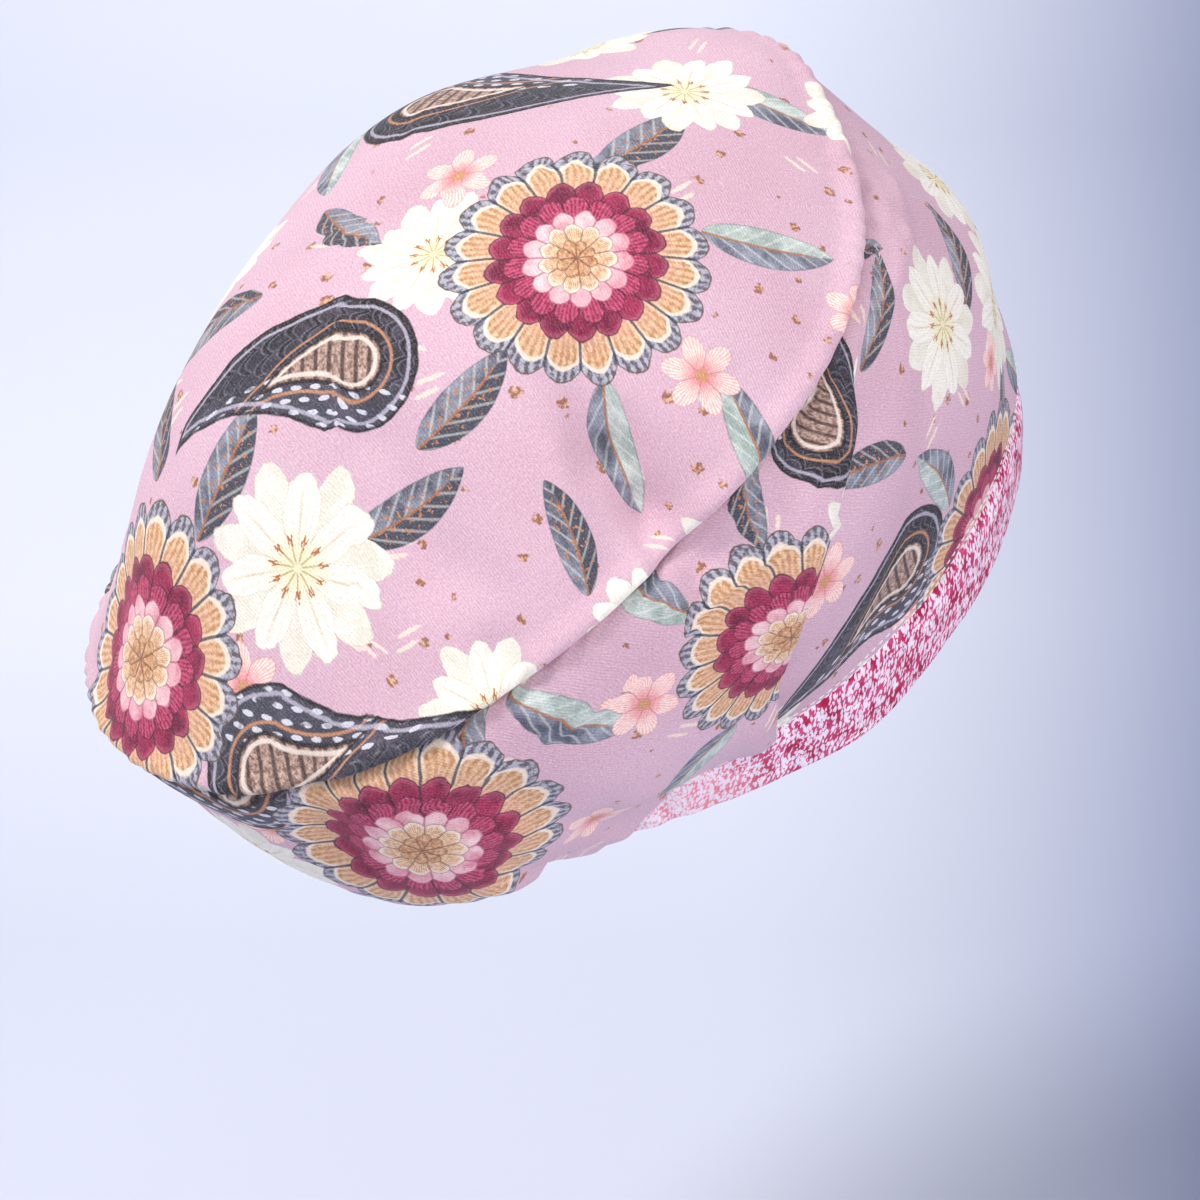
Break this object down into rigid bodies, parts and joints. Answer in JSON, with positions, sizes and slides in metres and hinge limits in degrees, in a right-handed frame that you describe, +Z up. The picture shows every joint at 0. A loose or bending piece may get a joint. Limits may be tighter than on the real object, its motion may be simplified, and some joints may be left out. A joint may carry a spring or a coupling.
{
  "type": "scrub cap",
  "caption": "Slouchy full-coverage fabric scrub cap: folded band round the head opening, wrap-around side panel tucked above each ear, and a full oval crown.",
  "frame": {"origin": "centre of the head opening, which is the folded band's lower edge", "axes": "+Z up as worn, -Y the way the wearer faces, +X the wearer's left; the opening is tilted about X, its front edge high and its nape low"},
  "size_m": [0.2138, 0.2901, 0.2175],
  "materials": {
    "print_jersey": "matt cotton jersey, dusty pink with a floral print",
    "band_fabric": "matt woven cotton, crimson and white speckles"
  },
  "bodies": {
    "root": {"band": "band_fabric", "side_panel_front": "print_jersey", "side_panel_back_right": "print_jersey", "side_panel_back_left": "print_jersey", "crown_panel": "print_jersey"}
  },
  "joints": []
}
